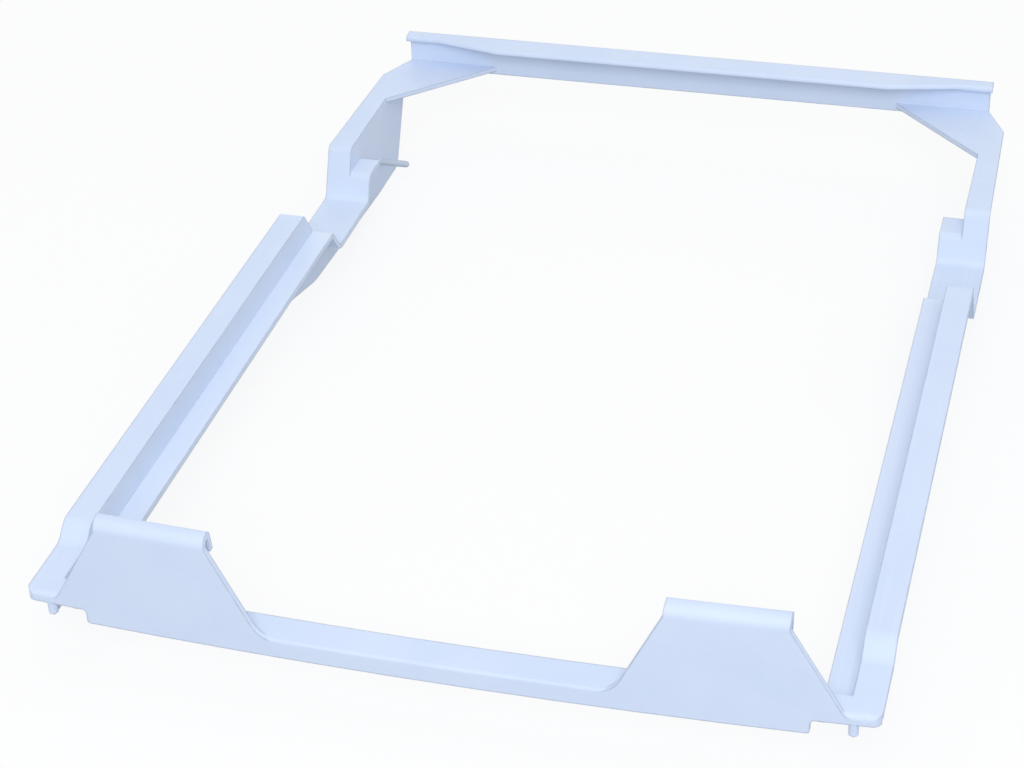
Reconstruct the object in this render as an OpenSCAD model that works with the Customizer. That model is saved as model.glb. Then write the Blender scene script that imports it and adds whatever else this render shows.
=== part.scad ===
// Crisper drawer frame of a refrigerator, moulded in one piece: two Z-section side rails,
// a bowed front rail with two rolled tabs, a dip behind each rail and a wall across the back.
// While it is drawn, X = 0 is the middle, Y = 0 the front and Z = 0 the top of the side rails.

/* [Overall] */
// Width over the two top flanges
outer_w = 330; // [280:1:400]
// Thickness of the moulded walls
wall = 2.5; // [2:0.1:3]

/* [Side rails] */
// Distance from the front to the rear end of the side rails
rail_len = 292.6; // [260:0.1:340]
// Width of the top flange, web included
flange_w = 12; // [10:0.1:16]
// Width of the ledge that carries the drawer
ledge_w = 10.7; // [8:0.1:14]
// Height of the flange above the ledge
rail_h = 13; // [11:0.1:16]

/* [Front corners] */
// Drop from the flange to the flat corner platform
platform_drop = 6.4; // [4:0.1:8]
// Length of the flat platform, front to back
platform_len = 32.5; // [26:0.1:38]
// Length of the slope from the platform up to the flange
ramp_len = 7.5; // [6:0.1:12]
// Length of the platform beside the tab, over the ledge
landing_len = 12.2; // [8:0.1:15]
// How far the step down from there to the ledge leans back
landing_lean = 2; // [1:0.1:4]
// Radius of the outer front corners, seen from above
corner_r = 4; // [2:0.1:8]

/* [Front rail] */
// How far the front bulges forward at the middle
bow = 3.6; // [2:0.1:6]
// Distance from the middle at which the bulge has come back to Y = 0
bow_reach = 136; // [120:1:150]
// Depth of the lower edge below the flange, along the middle
apron_drop = 17.1; // [15:0.1:20]
// Depth of the lower edge below the flange, at the corners
corner_drop = 10.9; // [9.5:0.1:12]
// Distance from the middle to the step in the lower edge
apron_reach = 139.7; // [132:0.1:143]
// Radius of the inner corner of that step
step_in_r = 1.8; // [0.5:0.1:2.5]
// Radius of the outer corner of that step
step_out_r = 1.2; // [0.5:0.1:2.5]
// Depth of the top of the front rail below the flange
front_drop = 8.9; // [7:0.1:10]
// Front to back size of the front rail
front_ledge_w = 13.8; // [11:0.1:18]
// Radius along the front upper edge of the front rail
front_edge_r = 1.2; // [0.8:0.1:2]
// Radius along the front upper edge of the corner platforms
corner_edge_r = 2.4; // [1:0.1:3]

/* [Tabs] */
// Height of the tabs above the flange
tab_h = 32.6; // [24:0.1:40]
// Distance from the middle to the inner end of a tab's lip
tab_in = 86.7; // [75:0.1:95]
// Distance from the middle to the outer end of a tab's lip
tab_out = 131.5; // [125:0.1:136]
// Distance from the middle to the inner foot of a tab
foot_in = 67.6; // [55:0.1:74]
// Distance from the middle to the outer foot of a tab
foot_out = 152.4; // [146:0.1:155]
// Radius of the fillet at the inner foot
foot_in_r = 11; // [4:0.1:12]
// Radius of the fillet at the outer foot
foot_out_r = 6; // [3:0.1:8]
// Depth of the rolled lip, front to back
lip_w = 7.6; // [6.8:0.1:10]
// Height of the lip's rear leg
lip_leg = 8.3; // [6:0.1:11]
// How far the lower end of the lip's leg slants towards the middle
lip_slant = 0.8; // [0:0.1:3]
// Radius of the roll at the front of the lip
roll_r = 4.6; // [3:0.1:5]
// Radius of the bend at the back of the lip
lip_end_r = 2.2; // [1:0.1:3]

/* [Dip] */
// Depth of the dip below the flange
dip_drop = 24.3; // [20:0.1:28]
// Length of the slope down into the dip
dip_run = 16.8; // [14:0.1:24]
// Length of the floor of the dip
dip_len = 44.6; // [38:0.1:55]
// Length of the rise from the dip to the arm
rise_run = 10; // [7:0.1:14]
// Radius of the bends at the foot and the top of that rise
rise_r = 4; // [3:0.1:6]
// Depth of the stub below the flange
stub_drop = 11.6; // [10:0.1:14]
// Distance from the start of the dip's floor to the rear end of the stub
stub_len = 66.2; // [58:0.1:72]

/* [Rear arms] */
// Length of the arm, from the rise to the back wall
arm_len = 104.5; // [90:0.1:125]
// How much the arm's flange narrows towards the back
arm_taper = 2; // [0:0.1:3]
// Length of the slanted corner outside the arm, front to back
arm_chamfer = 21; // [14:0.1:28]
// Size of the gusset along the back wall
gusset_w = 46.6; // [34:0.1:56]
// Size of the gusset along the arm
gusset_len = 47.6; // [36:0.1:56]
// Depth of the web below the flange, at its deepest
web_drop = 45.5; // [41:0.1:52]
// Depth of the web below the flange, at the start of its long lower edge
web_start_drop = 40.3; // [36:0.1:41]
// Distance from the end of the rail back to that start
web_start_gap = 7.6; // [4:0.1:16]
// Distance from the end of the rail forward to where the web begins to deepen
web_ramp_len = 74.4; // [50:0.1:95]
// Distance from the end of the rail forward to the web's knee
web_knee_len = 34.4; // [25:0.1:45]
// Depth of the web below the flange, at its knee
web_knee_drop = 30; // [24:0.1:34]
// How far the foot of the web ends in front of the back wall
web_foot_gap = 36; // [28:0.1:46]
// Length of the level stretch of the web's foot, on which the frame rests
web_flat = 32; // [20:0.1:45]
// How far the top of the web ends in front of the back wall
web_top_gap = 13.5; // [8:0.1:18]

/* [Back wall] */
// Width of the back wall
back_w = 307; // [260:1:376]
// Height of the back wall above the flange
back_h = 15.4; // [12:0.1:22]
// How far the back wall reaches below the flange
back_drop = 4.3; // [3:0.1:6]
// How far the lip sticks out forward of the wall, along the middle
back_lip = 12; // [7:0.1:14]
// Height of the rounded front edge of the lip
back_bead = 3.6; // [2.6:0.1:5]
// How far the lip sticks out forward of the wall, at its ends
back_lip_end = 4.1; // [1:0.1:6]
// How far the lip overhangs each end of the wall
back_lip_over = 1.1; // [0.5:0.1:2.5]
// Distance from the middle to the start of the lip's taper
taper_in = 103; // [80:0.1:115]
// Distance from the middle to the end of the lip's taper
taper_out = 139; // [125:0.1:150]

/* [Pins] */
// Diameter of the corner pins
pin_d = 3.8; // [2.4:0.1:4.6]
// Length of the corner pins
pin_len = 6.3; // [5:0.1:9]
// Distance of the pins inward from the outer edge of the flange
pin_inset = 10; // [8:0.1:11]
// Front to back size of the rib behind each pin, at its root
pin_rib = 5; // [3:0.1:7]
// Thickness of that rib
rib_t = 1.2; // [0.8:0.1:1.8]
// Diameter of the peg on the left web
peg_d = 3.4; // [2.6:0.1:4]
// Length of the peg
peg_len = 16; // [10:0.1:20]
// Distance of the peg from the back wall
peg_gap = 63.5; // [56:0.1:72]
// Depth of the peg below the flange
peg_drop = 28.9; // [24:0.1:33]

/* [Hidden] */
$fn = 48;
arc_steps = 6;
// Small overlap that keeps joined solids from only touching
lap = 0.5;
// Cuts run this far past what they cut
past = 20;
// Smallest radius inside a bend
tight_r = 0.3;

half_w = outer_w / 2;
web_x = half_w - flange_w;
ledge_x = web_x - ledge_w;
// Stations from front to back
ramp_top_y = platform_len + ramp_len;
dip_y = rail_len + dip_run;
rise_y = dip_y + dip_len;
arm_y = rise_y + rise_run;
wall_y = arm_y + arm_len;
ledge_end_y = rail_len + dip_run * rail_h / dip_drop;
stub_top_y = rise_y + rise_run * (dip_drop - stub_drop) / dip_drop;
stub_end_y = dip_y + stub_len;
rear_y = wall_y + wall;
// The front is an arc of this radius around a centre far behind
bow_r = (bow_reach * bow_reach + bow * bow) / (2 * bow);
bow_y = bow_r - bow;
bow_angle = 2 * asin(half_w / bow_r);
// Radii of the folds in the strips, on their upper side
fold_r = 3;
soft_r = 7;
crest_r = 1.2;
// Radius of the bends along the lower edge of the web
web_r = 60;
// The bends of the tab's lip, kept clear of each other inside it
lip_front_r = min(roll_r, lip_w - wall - 2 * tight_r);
lip_back_r = min(lip_end_r, lip_w - lip_front_r);
// Fineness of the arcs that are nearly flat
bow_fn = 720;

function unit(v) = v / norm(v);
function flat_of(p) = [p.x, p.y];
function right_of(d) = [d.y, -d.x];
function backwards(list) = [for (i = [len(list) - 1:-1:0]) list[i]];
function front_at(x) = bow_y - sqrt(bow_r * bow_r - x * x);

// Arc of radius r that rounds the corner b between a and c
function corner(a, b, c, r) =
    let (u = unit(a - b), v = unit(c - b), half = acos(max(-1, min(1, u * v))) / 2)
    r <= 0 || half > 89 ? [b] :
    let (middle = b + unit(u + v) * r / sin(half),
         first = b + u * r / tan(half) - middle,
         start = atan2(first.y, first.x),
         sweep = (180 - 2 * half) * sign(cross(b - a, c - b)))
    [for (i = [0:arc_steps]) let (t = start + sweep * i / arc_steps)
        middle + r * [cos(t), sin(t)]];

// Open path through points [x, y, r], each rounded to its own radius r
function path(p) = [for (i = [0:len(p) - 1]) each
    i == 0 || i == len(p) - 1 ? [flat_of(p[i])]
    : corner(flat_of(p[i - 1]), flat_of(p[i]), flat_of(p[i + 1]), p[i].z)];

// Closed outline through points [x, y, r]
function outline(p) = let (n = len(p)) [for (i = [0:n - 1]) each
    corner(flat_of(p[(i + n - 1) % n]), flat_of(p[i]), flat_of(p[(i + 1) % n]), p[i].z)];

// The path p moved to its right by t, with its bends kept concentric
function moved(p, t) = [for (i = [0:len(p) - 1])
    let (before = unit(flat_of(i == 0 ? p[1] - p[0] : p[i] - p[i - 1])),
         after = i == len(p) - 1 ? before : unit(flat_of(p[i + 1] - p[i])),
         n1 = right_of(before), n2 = right_of(after),
         step = t * (n1 + n2) / (1 + n1 * n2))
    [p[i].x + step.x, p[i].y + step.y, max(tight_r, p[i].z + t * sign(cross(before, after)))]];

// Section of a bent sheet: the path p is its upper or outer face
function sheet(p, t) = concat(path(p), backwards(path(moved(p, t))));

// Draws a YZ section and runs it from x0 to x1
module along_x(x0, x1) {
    translate([x0, 0, 0]) rotate([90, 0, 90]) linear_extrude(x1 - x0) children();
}

// Draws an XZ outline and runs it from y0 to y1
module along_y(y0, y1) {
    translate([0, y1, 0]) rotate([90, 0, 0]) linear_extrude(y1 - y0) children();
}

// Bends a YZ section round the arc of the front
module along_bow() {
    translate([0, bow_y, 0])
        rotate([0, 0, -90 - bow_angle / 2])
            rotate_extrude(angle = bow_angle, $fn = bow_fn)
                translate([bow_r, 0]) mirror([1, 0]) children();
}

module both_sides() {
    children();
    mirror([1, 0, 0]) children();
}

// Upper face of the flange, from the front platform through the dip to the back wall
flange_path = [
    [-past, -platform_drop, 0],
    [platform_len, -platform_drop, soft_r],
    [ramp_top_y, 0, soft_r],
    [rail_len, 0, crest_r],
    [dip_y, -dip_drop, soft_r],
    [rise_y, -dip_drop, rise_r],
    [arm_y, 0, rise_r],
    [wall_y + lap, 0, 0]];

// Upper face of the ledge, from the landing through the dip to the end of the stub
ledge_path = [
    [-past, -platform_drop, 0],
    [landing_len, -platform_drop, crest_r],
    [landing_len + landing_lean, -rail_h, tight_r],
    [ledge_end_y, -rail_h, crest_r],
    [dip_y, -dip_drop, soft_r],
    [rise_y, -dip_drop, rise_r],
    [stub_top_y, -stub_drop, rise_r],
    [stub_end_y, -stub_drop, 0]];

module flange_strip() {
    intersection() {
        along_x(web_x, half_w) polygon(sheet(flange_path, wall));
        translate([0, 0, -web_drop]) linear_extrude(web_drop + past)
            polygon(outline([
                [web_x - lap, -past, 0], [half_w, -past, 0], [half_w, arm_y, 0],
                [half_w - arm_taper, wall_y - arm_chamfer, corner_r],
                [back_w / 2, wall_y, 0], [back_w / 2, wall_y + lap, 0],
                [web_x - lap, wall_y + lap, 0]]));
    }
}

module ledge_strip() {
    along_x(ledge_x, web_x + lap) polygon(sheet(ledge_path, wall));
}

// The web hangs from the flange and deepens behind the rail
module web() {
    ledge_under = rail_h + wall;
    foot_y = wall_y - web_foot_gap;
    top_y = wall_y - web_top_gap;
    top = [for (p = path(moved(flange_path, wall / 2))) if (p.x < top_y) p];
    foot = backwards(path([
        [-past, -ledge_under, 0],
        [rail_len - web_ramp_len, -ledge_under, web_r],
        [rail_len - web_knee_len, -web_knee_drop, web_r],
        [rail_len + web_start_gap, -web_start_drop, web_r],
        [foot_y - web_flat, -web_drop, web_r],
        [foot_y, -web_drop, fold_r],
        [top_y, -wall / 2, 0]]));
    along_x(web_x, web_x + wall) polygon(concat(top, foot));
}

// Flat plate that ties the arm to the back wall
module gusset() {
    translate([0, 0, -wall]) linear_extrude(wall) polygon([
        [web_x + lap, wall_y - gusset_len - lap], [web_x + lap, wall_y + lap],
        [web_x - gusset_w, wall_y + lap], [web_x - gusset_w, wall_y], [web_x, wall_y - gusset_len]]);
}

module side() {
    flange_strip();
    ledge_strip();
    web();
    gusset();
}

// Front face with its two tabs, seen from the front
module front_outline() {
    under_lip = tab_h - lip_front_r;
    corner_top = -platform_drop - corner_edge_r;
    rail_top = -front_drop - front_edge_r;
    polygon(outline([
        [-lap, -apron_drop, 0], [apron_reach, -apron_drop, step_out_r],
        [apron_reach, -corner_drop, step_in_r], [half_w, -corner_drop, 0],
        [half_w, corner_top, 0], [foot_out, corner_top, foot_out_r], [tab_out, under_lip, 0],
        [tab_in - lip_slant / 2, under_lip, 0], [foot_in, rail_top, foot_in_r],
        [-lap, rail_top, 0]]));
}

module front_face() {
    intersection() {
        along_bow() translate([0, -apron_drop - lap]) square([wall, apron_drop + tab_h + past]);
        along_y(-past, past) both_sides_flat() front_outline();
    }
}

module both_sides_flat() {
    children();
    mirror([1, 0]) children();
}

// Inverted J along the top of a tab
module tab_lip() {
    intersection() {
        along_bow() polygon(sheet([
            [0, tab_h - lip_front_r - lap, 0], [0, tab_h, lip_front_r], [lip_w, tab_h, lip_back_r],
            [lip_w, tab_h - lip_leg, 0]], wall));
        along_y(-past, past) polygon([
            [tab_in, tab_h], [tab_in - lip_slant, tab_h - lip_leg],
            [tab_out, tab_h - lip_leg], [tab_out, tab_h]]);
    }
}

// Rounded edge from the front face up to a corner platform
module corner_edge() {
    x0 = foot_out - foot_out_r;
    intersection() {
        along_bow() polygon(sheet([
            [0, -corner_drop, 0], [0, -platform_drop, corner_edge_r],
            [landing_len / 2, -platform_drop, 0]], wall));
        along_y(-past, past) translate([x0, -apron_drop]) square([half_w - x0, apron_drop]);
    }
}

// Level shelf behind the front face, and the shoulder up to the platform
module front_ledge() {
    intersection() {
        along_bow() polygon(sheet([
            [0, -front_drop - front_edge_r - lap, 0], [0, -front_drop, front_edge_r],
            [front_ledge_w, -front_drop, 0]], wall));
        translate([0, 0, -apron_drop]) linear_extrude(apron_drop + lap) both_sides_flat() polygon([
            [-lap, -past], [ledge_x + lap, -past], [ledge_x + lap, landing_len], [ledge_x, landing_len],
            [ledge_x, past + front_ledge_w], [-lap, past + front_ledge_w]]);
    }
    both_sides() translate([ledge_x, front_at(ledge_x) + lap, -front_drop - wall])
        cube([wall, landing_len - front_at(ledge_x) - lap, front_drop + wall - platform_drop]);
}

// Wall across the back
module back_wall() {
    translate([-back_w / 2, wall_y, -back_drop]) cube([back_w, wall, back_h + back_drop]);
}

// Plate with a beaded edge at Y = 0 that reaches far back
module beaded_plate(length) {
    bead_r = back_bead / 2;
    along_x(-length / 2, length / 2) {
        translate([bead_r, -bead_r]) circle(bead_r);
        translate([bead_r, -wall]) square([outer_w, wall]);
    }
}

// Lip along the top of the back wall, drawn in towards both ends
module back_lip() {
    taper = atan2(back_lip - back_lip_end, taper_out - taper_in);
    intersection() {
        translate([0, wall_y, back_h]) union() {
            translate([0, -back_lip_end, 0]) beaded_plate(back_w + 2 * back_lip_over);
            intersection() {
                translate([0, -back_lip, 0]) beaded_plate(back_w);
                translate([taper_in, -back_lip, 0]) rotate([0, 0, taper]) beaded_plate(4 * taper_out);
                translate([-taper_in, -back_lip, 0]) rotate([0, 0, -taper]) beaded_plate(4 * taper_out);
            }
        }
        translate([-outer_w, 0, 0]) cube([2 * outer_w, rear_y, back_h + past]);
    }
}

// Round locating pin under a front corner, with a rib behind it
module corner_pin() {
    x = half_w - pin_inset;
    y = front_at(x) + pin_d / 2;
    tip = pin_d / 4;
    translate([x, y, -corner_drop]) {
        translate([0, 0, tip - pin_len])
            cylinder(h = pin_len - tip + corner_drop - platform_drop - corner_edge_r, d = pin_d);
        translate([0, 0, -pin_len]) cylinder(h = tip, d1 = pin_d - 2 * tip, d2 = pin_d);
    }
    along_x(x - rib_t / 2, x + rib_t / 2) polygon([
        [y, -platform_drop - wall / 2], [y + pin_d / 2 + pin_rib, -platform_drop - wall / 2],
        [y + pin_d / 2 + pin_rib, -corner_drop], [y, -corner_drop - pin_len + 2 * tip]]);
}

// Round peg that points inward from the left web
module peg() {
    translate([-web_x - lap, wall_y - peg_gap, -peg_drop]) rotate([0, 90, 0]) {
        cylinder(h = peg_len + lap - peg_d / 2, d = peg_d);
        translate([0, 0, peg_len + lap - peg_d / 2]) sphere(d = peg_d);
    }
}

// What is cut away to round an outer front corner
module corner_cut() {
    x = half_w - corner_r;
    y = front_at(x) + corner_r;
    translate([0, 0, -apron_drop]) difference() {
        translate([x, y - corner_r - past, 0]) cube([corner_r + past, corner_r + past, apron_drop + past]);
        translate([x, y, -past]) cylinder(h = apron_drop + 3 * past, r = corner_r);
    }
}

// What the side strips leave out, in front of the rounded edge of the platforms
module front_cut() {
    translate([0, 0, -web_drop]) difference() {
        translate([-outer_w, -2 * past, 0]) cube([2 * outer_w, 3 * past, web_drop + past]);
        translate([0, bow_y, -past])
            cylinder(h = web_drop + 3 * past, r = bow_r - corner_edge_r - lap, $fn = bow_fn);
    }
}

module drawer_frame() {
    color([0.84, 0.89, 0.98])
    translate([0, (bow - rear_y) / 2, web_drop]) {
        difference() {
            union() {
                difference() {
                    both_sides() side();
                    front_cut();
                }
                front_face();
                both_sides() corner_edge();
                front_ledge();
            }
            both_sides() corner_cut();
        }
        both_sides() tab_lip();
        both_sides() corner_pin();
        back_wall();
        back_lip();
        peg();
    }
}

drawer_frame();
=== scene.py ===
import bpy
from mathutils import Matrix, Vector

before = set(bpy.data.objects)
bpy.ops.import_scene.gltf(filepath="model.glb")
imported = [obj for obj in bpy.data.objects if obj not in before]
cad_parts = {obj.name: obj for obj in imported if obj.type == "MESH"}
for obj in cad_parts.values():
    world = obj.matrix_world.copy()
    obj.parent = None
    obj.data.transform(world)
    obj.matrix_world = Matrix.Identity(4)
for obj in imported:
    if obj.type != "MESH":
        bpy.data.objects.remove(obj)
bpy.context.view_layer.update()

# Lengths are in metres and colours are linear RGB. A value named A_TO_B has four numbers: the
# range of A from first to second is carried to the range of B from third to fourth.

# Camera: fitted to the photograph, in the frame of the CAD model
LENS = 84.83
SENSOR = 36.0
CAMERA_AT = Vector((0.22684, -0.88654, 0.60786))
CAMERA_RIGHT = Vector((0.9642, 0.2631, -0.0318))
CAMERA_UP = Vector((-0.1184, 0.5351, 0.8365))
CAMERA_CLIP = (0.05, 50.0)

# Plastic: its two tints and its gloss
PLASTIC = (0.68, 0.775, 0.94)
PLASTIC_PALE = (0.715, 0.805, 0.955)
PLASTIC_GLOSS = dict(IOR=1.45, Specular_IOR_Level=0.3)

# Slow flow of the melt, which mixes the tints and leaves faint waves where the walls drew in
FLOW_SIZE = 0.055
FLOW = dict(Scale=1 / FLOW_SIZE, Detail=4.0, Roughness=0.55, Distortion=0.8)
FLOW_TO_TINT = (0.35, 0.65, 0.0, 1.0)
FLOW_BUMP = dict(Strength=0.25, Distance=0.0006)

# Fine grain of the mould
GRAIN_SIZE = 0.0009
GRAIN = dict(Scale=1 / GRAIN_SIZE, Detail=2.0)
GRAIN_TO_ROUGHNESS = (0.3, 0.7, 0.40, 0.50)
GRAIN_BUMP = dict(Strength=0.05, Distance=0.0002)

# Edges are rounded in shading. Painted shade lies in patches along the outer ones as a dark line:
# where the rounded normal turns away from the flat one, and no wall stands within reach
EDGE_RADIUS = 0.0009
EDGE_SAMPLES = 6
COSINE_TO_TURN = (1.0, 0.80, 0.0, 1.0)
OPEN_REACH = 0.003
OPEN_SAMPLES = 4
OCCLUSION_TO_OPEN = (0.70, 0.95, 0.15, 1.0)
EDGE_PAINTED_SHADE = (0.42, 0.485, 0.60)
PATCHES = dict(Scale=140.0, Detail=3.0)
PATCHES_TO_EDGE_SHADE = (0.38, 0.60, 0.35, 0.9)

# Pale wear from drawers, and painted light on the ledges, both on faces that look up. Their noise
# is drawn out along the rails
PALE_WEAR_AND_LEDGE_LIGHT = (0.76, 0.84, 0.965)
WEAR_STRETCH = (620.0, 14.0, 90.0)
WEAR = dict(Scale=1.0, Detail=3.0, Roughness=0.6)
NORMAL_TO_UPWARD = (0.85, 0.97, 0.0, 1.0)
# Streaks set in at a distance from the middle, to either side
WEAR_TO_STREAKS = (0.52, 0.68, 0.0, 0.38)
SIDE_TO_RAIL = (0.134, 0.140, 0.0, 1.0)
# Ledges get painted light that makes them paler, which ends a little above and below their height
WEAR_TO_LEDGE_LIGHT = (0.35, 0.65, 0.65, 1.0)
LEDGE_Z = 0.0325
LEVEL_TO_LEDGE = (0.0012, 0.0022, 1.0, 0.0)

# Peg: its middle, the half lengths of the space round it, and the darker colour given to it
PEG_AT = (-0.1445, 0.1713, 0.0166)
PEG_REACH = (0.0095, 0.0030, 0.0030)
PEG_DARKER = (0.56, 0.61, 0.68)
DISTANCE_TO_PEG = (0.95, 1.0, 1.0, 0.0)

# Light: its tint, the level of the sky, and the white that the camera and reflections see
LIGHT_TINT = (0.955, 0.985, 1.04)
SKY_LEVEL = 0.645
WHITE = dict(Color=(1.0, 1.0, 1.0), Strength=1.0)
# Name, place, size and power of each soft lamp, and the point that they all face
LAMPS = (
    ("key", (0.45, -1.8, 1.5), 1.0, 20.0),
    ("top", (0.0, -0.3, 2.2), 1.6, 3.3),
    ("right", (2.0, 0.0, 1.1), 1.2, 2.2),
    ("rear", (-0.6, 2.0, 0.8), 1.2, 2.5),
)
LAMP_AIM = Vector((0.0, 0.0, 0.0))

# Floor: its side and its height, a hair below the feet
FLOOR_SIZE = 8.0
FLOOR_Z = -0.0003
# Its colour for rays that carry light and for those that see it, to which it also glows: the
# glow's share grows with the distance from the middle, up to plain white
FLOOR_COLOUR = (0.60, 0.60, 0.60)
FLOOR_SEEN = (0.97, 0.965, 0.95)
DISTANCE_TO_GLOW = (0.55, 1.5, 0.84, 1.0)

# Spacing of the nodes in the shader editor
NODE_COLUMN = 200
NODE_ROW = 280


def feed(tree, socket, value):
    """Links value into socket if it is a socket too, or else sets it there."""
    if isinstance(value, bpy.types.NodeSocket):
        tree.links.new(value, socket)
    elif socket.type == "RGBA":
        socket.default_value = (*value, 1.0)
    else:
        socket.default_value = value


def new_node(tree, kind, **inputs):
    """A new shader node. Each input, named with _ for a space, is a socket or a value."""
    made = tree.nodes.new(kind)
    for name, value in inputs.items():
        feed(tree, made.inputs[name.replace("_", " ")], value)
    return made


def operated(tree, kind, operation, *values):
    """A new Math or Vector Math node, with its inputs in order."""
    made = tree.nodes.new(kind)
    made.operation = operation
    for socket, value in zip(made.inputs, values):
        feed(tree, socket, value)
    return made


def computed(tree, operation, *values):
    """The number that a Math node gives."""
    return operated(tree, "ShaderNodeMath", operation, *values).outputs["Value"]


def vector_math(tree, operation, *values, result="Vector"):
    """The vector that a Vector Math node gives, or its number with result="Value"."""
    return operated(tree, "ShaderNodeVectorMath", operation, *values).outputs[result]


def ranged(tree, value, low, high, to_low, to_high):
    """value carried from the range low..high to to_low..to_high, and held there."""
    carried = new_node(tree, "ShaderNodeMapRange", Value=value, From_Min=low, From_Max=high,
                       To_Min=to_low, To_Max=to_high)
    return carried.outputs["Result"]


def noise(tree, place, **inputs):
    """Noise from 0 to 1 at a place."""
    return new_node(tree, "ShaderNodeTexNoise", Vector=place, **inputs).outputs["Fac"]


def mixed(tree, factor, first, second):
    """A colour mixed from first to second by factor."""
    mix = tree.nodes.new("ShaderNodeMix")
    mix.data_type = "RGBA"
    for name, value in (("Factor", factor), ("A", first), ("B", second)):
        feed(tree, mix.inputs[name], value)
    return mix.outputs["Result"]


def mixed_shader(tree, factor, first, second):
    """A shader mixed from first to second by factor."""
    mix = tree.nodes.new("ShaderNodeMixShader")
    for socket, value in zip(mix.inputs, (factor, first, second)):
        feed(tree, socket, value)
    return mix.outputs["Shader"]


def seen_ray(tree):
    """1 for rays of the camera, of reflections and through glass, 0 for those that carry light."""
    ray = new_node(tree, "ShaderNodeLightPath")
    seen = ray.outputs["Is Camera Ray"]
    for name in ("Is Glossy Ray", "Is Transmission Ray"):
        seen = computed(tree, "MAXIMUM", seen, ray.outputs[name])
    return seen


def arrange(tree):
    """Sets the nodes out in columns, each node to the right of those that feed it."""
    column = {node.name: 0 for node in tree.nodes}
    for _ in tree.nodes:
        for link in tree.links:
            column[link.to_node.name] = max(column[link.to_node.name],
                                            column[link.from_node.name] + 1)
    filled = {}
    for node in tree.nodes:
        across = column[node.name]
        down = filled.get(across, 0)
        node.location = (NODE_COLUMN * across, -NODE_ROW * down)
        filled[across] = down + 1


def emptied(owner):
    """The node tree of a material or world, with no nodes in it."""
    owner.use_nodes = True
    owner.node_tree.nodes.clear()
    return owner.node_tree


def finished(tree, kind, surface):
    """Ends a node tree with an output node of this kind for its surface."""
    new_node(tree, kind, Surface=surface)
    arrange(tree)


def edge_mask(tree):
    """The rounded normal, and a mask: 1 along outer edges and little along inner ones."""
    bevel = new_node(tree, "ShaderNodeBevel", Radius=EDGE_RADIUS)
    bevel.samples = EDGE_SAMPLES
    rounded = bevel.outputs["Normal"]
    flat = new_node(tree, "ShaderNodeNewGeometry").outputs["Normal"]
    cosine = vector_math(tree, "DOT_PRODUCT", rounded, flat, result="Value")
    occlusion = new_node(tree, "ShaderNodeAmbientOcclusion", Distance=OPEN_REACH)
    occlusion.samples = OPEN_SAMPLES
    occlusion.only_local = True
    turned = ranged(tree, cosine, *COSINE_TO_TURN)
    in_the_open = ranged(tree, occlusion.outputs["AO"], *OCCLUSION_TO_OPEN)
    return rounded, computed(tree, "MULTIPLY", turned, in_the_open)


def slide_wear_and_ledge_light(tree, place):
    """Pale streaks of wear from drawers all along the rails, and painted light that makes the
    ledges paler.
    """
    stretched = new_node(tree, "ShaderNodeMapping", Vector=place, Scale=WEAR_STRETCH)
    wear = noise(tree, stretched.outputs["Vector"], **WEAR)
    streaks = ranged(tree, wear, *WEAR_TO_STREAKS)
    # Painted light that makes the ledges paler, in patches of the noise
    ledge_light = ranged(tree, wear, *WEAR_TO_LEDGE_LIGHT)

    facing = new_node(tree, "ShaderNodeNewGeometry").outputs["Normal"]
    facing_up = new_node(tree, "ShaderNodeSeparateXYZ", Vector=facing).outputs["Z"]
    upward = ranged(tree, facing_up, *NORMAL_TO_UPWARD)

    spot = new_node(tree, "ShaderNodeSeparateXYZ", Vector=place)
    side = computed(tree, "ABSOLUTE", spot.outputs["X"])
    on_rail = ranged(tree, side, *SIDE_TO_RAIL)
    level = computed(tree, "ABSOLUTE", computed(tree, "SUBTRACT", spot.outputs["Z"], LEDGE_Z))
    on_ledge = ranged(tree, level, *LEVEL_TO_LEDGE)

    streaked = computed(tree, "MULTIPLY", streaks, on_rail)
    # Painted light on the ledges
    painted_ledge_light = computed(tree, "MULTIPLY", ledge_light, on_ledge)
    return computed(tree, "MULTIPLY", computed(tree, "MAXIMUM", streaked, painted_ledge_light), upward)


def peg_mask(tree, place):
    """1 on the peg and 0 on the rest: how near a point is to the peg's middle."""
    away = vector_math(tree, "SUBTRACT", place, PEG_AT)
    share = vector_math(tree, "DIVIDE", away, PEG_REACH)
    return ranged(tree, vector_math(tree, "LENGTH", share, result="Value"), *DISTANCE_TO_PEG)


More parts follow.
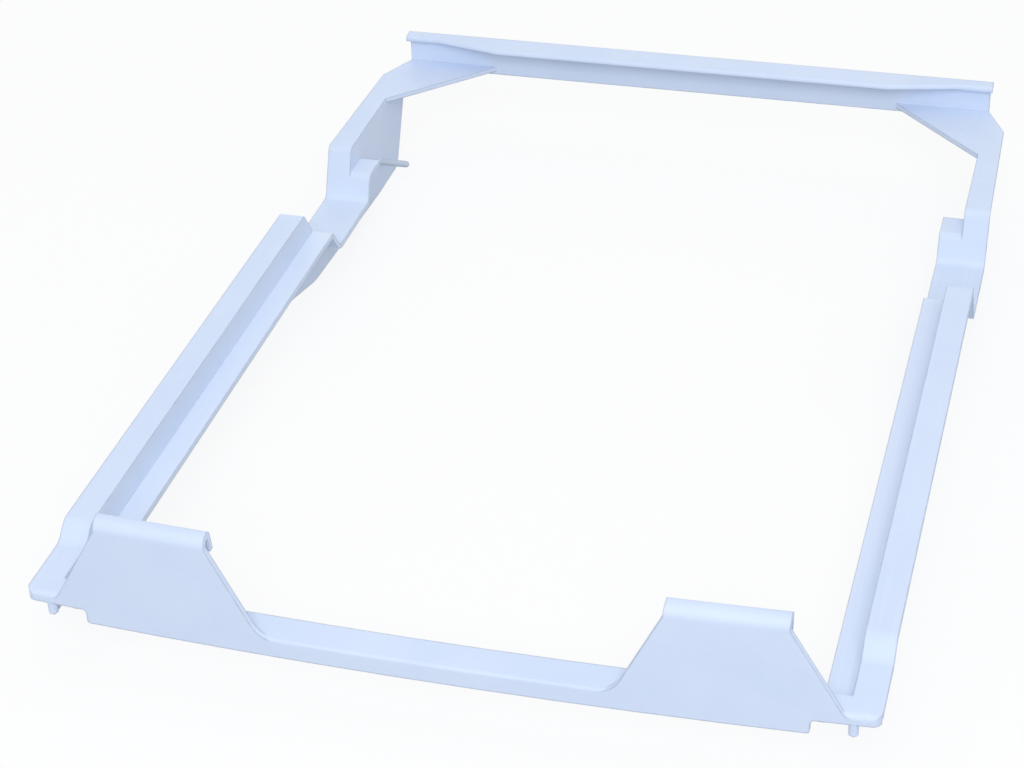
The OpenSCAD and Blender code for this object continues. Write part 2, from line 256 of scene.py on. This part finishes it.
def moulded_plastic(name):
    """Satin moulded plastic, cool white: flow marks, fine grain, painted shade along outer edges,
    wear streaks, painted light on the ledges and a darker peg.
    """
    material = bpy.data.materials.new(name)
    tree = emptied(material)
    place = new_node(tree, "ShaderNodeTexCoord").outputs["Object"]
    flow = noise(tree, place, **FLOW)
    grain = noise(tree, place, **GRAIN)
    patches = ranged(tree, noise(tree, place, **PATCHES), *PATCHES_TO_EDGE_SHADE)
    rounded, edges = edge_mask(tree)
    # Painted shade: a dark line in patches along the outer edges
    painted_edge_shade = computed(tree, "MULTIPLY", edges, patches)

    tint = mixed(tree, ranged(tree, flow, *FLOW_TO_TINT), PLASTIC, PLASTIC_PALE)
    # Pale wear streaks along the rails, and painted light that makes the ledges paler
    worn_and_lit = mixed(tree, slide_wear_and_ledge_light(tree, place), tint, PALE_WEAR_AND_LEDGE_LIGHT)
    # The painted edge shade darkens the colour along outer edges
    edged = mixed(tree, painted_edge_shade, worn_and_lit, EDGE_PAINTED_SHADE)
    colour = mixed(tree, peg_mask(tree, place), edged, PEG_DARKER)

    fine = new_node(tree, "ShaderNodeBump", Height=grain, Normal=rounded, **GRAIN_BUMP)
    waves = new_node(tree, "ShaderNodeBump", Height=flow, Normal=fine.outputs["Normal"],
                     **FLOW_BUMP)
    shader = new_node(tree, "ShaderNodeBsdfPrincipled", Base_Color=colour,
                      Roughness=ranged(tree, grain, *GRAIN_TO_ROUGHNESS),
                      Normal=waves.outputs["Normal"], **PLASTIC_GLOSS)
    finished(tree, "ShaderNodeOutputMaterial", shader.outputs["BSDF"])
    return material


def floor_material(name):
    """Pale floor that shows almost white to the camera and still keeps a shadow."""
    material = bpy.data.materials.new(name)
    tree = emptied(material)
    seen = seen_ray(tree)
    lit = new_node(tree, "ShaderNodeBsdfDiffuse",
                   Color=mixed(tree, seen, FLOOR_COLOUR, FLOOR_SEEN))
    white = new_node(tree, "ShaderNodeEmission", **WHITE)
    place = new_node(tree, "ShaderNodeTexCoord").outputs["Object"]
    distance = vector_math(tree, "LENGTH", place, result="Value")
    glow = computed(tree, "MULTIPLY", seen, ranged(tree, distance, *DISTANCE_TO_GLOW))
    shown = mixed_shader(tree, glow, lit.outputs["BSDF"], white.outputs["Emission"])
    finished(tree, "ShaderNodeOutputMaterial", shown)
    return material


def make_world():
    """Even sky light, which the camera and reflections see as white."""
    world = bpy.data.worlds.new("studio")
    bpy.context.scene.world = world
    tree = emptied(world)
    sky = new_node(tree, "ShaderNodeBackground", Color=LIGHT_TINT, Strength=SKY_LEVEL)
    white = new_node(tree, "ShaderNodeBackground", **WHITE)
    shown = mixed_shader(tree, seen_ray(tree), sky.outputs["Background"],
                         white.outputs["Background"])
    finished(tree, "ShaderNodeOutputWorld", shown)


def area_lamp(name, at, size, power):
    """Square soft lamp at a point, turned to the object."""
    data = bpy.data.lights.new(name, "AREA")
    data.size = size
    data.energy = power
    data.color = LIGHT_TINT
    lamp = bpy.data.objects.new(name, data)
    bpy.context.scene.collection.objects.link(lamp)
    lamp.location = at
    lamp.rotation_euler = (LAMP_AIM - Vector(at)).to_track_quat("-Z", "Y").to_euler()


def make_camera():
    """Camera at the photograph's place, angle and lens."""
    data = bpy.data.cameras.new("photo_camera")
    data.lens = LENS
    data.sensor_width = SENSOR
    data.clip_start, data.clip_end = CAMERA_CLIP
    camera = bpy.data.objects.new("photo_camera", data)
    bpy.context.scene.collection.objects.link(camera)
    right = CAMERA_RIGHT.normalized()
    back = right.cross(CAMERA_UP).normalized()
    up = back.cross(right)
    turn = Matrix((right, up, back)).transposed()
    camera.matrix_world = Matrix.Translation(CAMERA_AT) @ turn.to_4x4()
    bpy.context.scene.camera = camera


def make_floor():
    """Large pale floor under the object."""
    half = FLOOR_SIZE / 2
    mesh = bpy.data.meshes.new("floor")
    corners = [(-half, -half), (half, -half), (half, half), (-half, half)]
    mesh.from_pydata([(x, y, FLOOR_Z) for x, y in corners], [], [(0, 1, 2, 3)])
    mesh.materials.append(floor_material("pale_floor"))
    floor = bpy.data.objects.new("floor", mesh)
    bpy.context.scene.collection.objects.link(floor)


def dress_frame():
    """The moulding keeps its CAD shape and gets the plastic."""
    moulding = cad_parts["drawer_frame"]
    plastic = moulded_plastic("white_plastic_finish")
    for slot in moulding.material_slots:
        slot.material = plastic


bpy.context.scene.view_settings.view_transform = "Standard"
make_camera()
make_world()
for lamp in LAMPS:
    area_lamp(*lamp)
make_floor()
dress_frame()
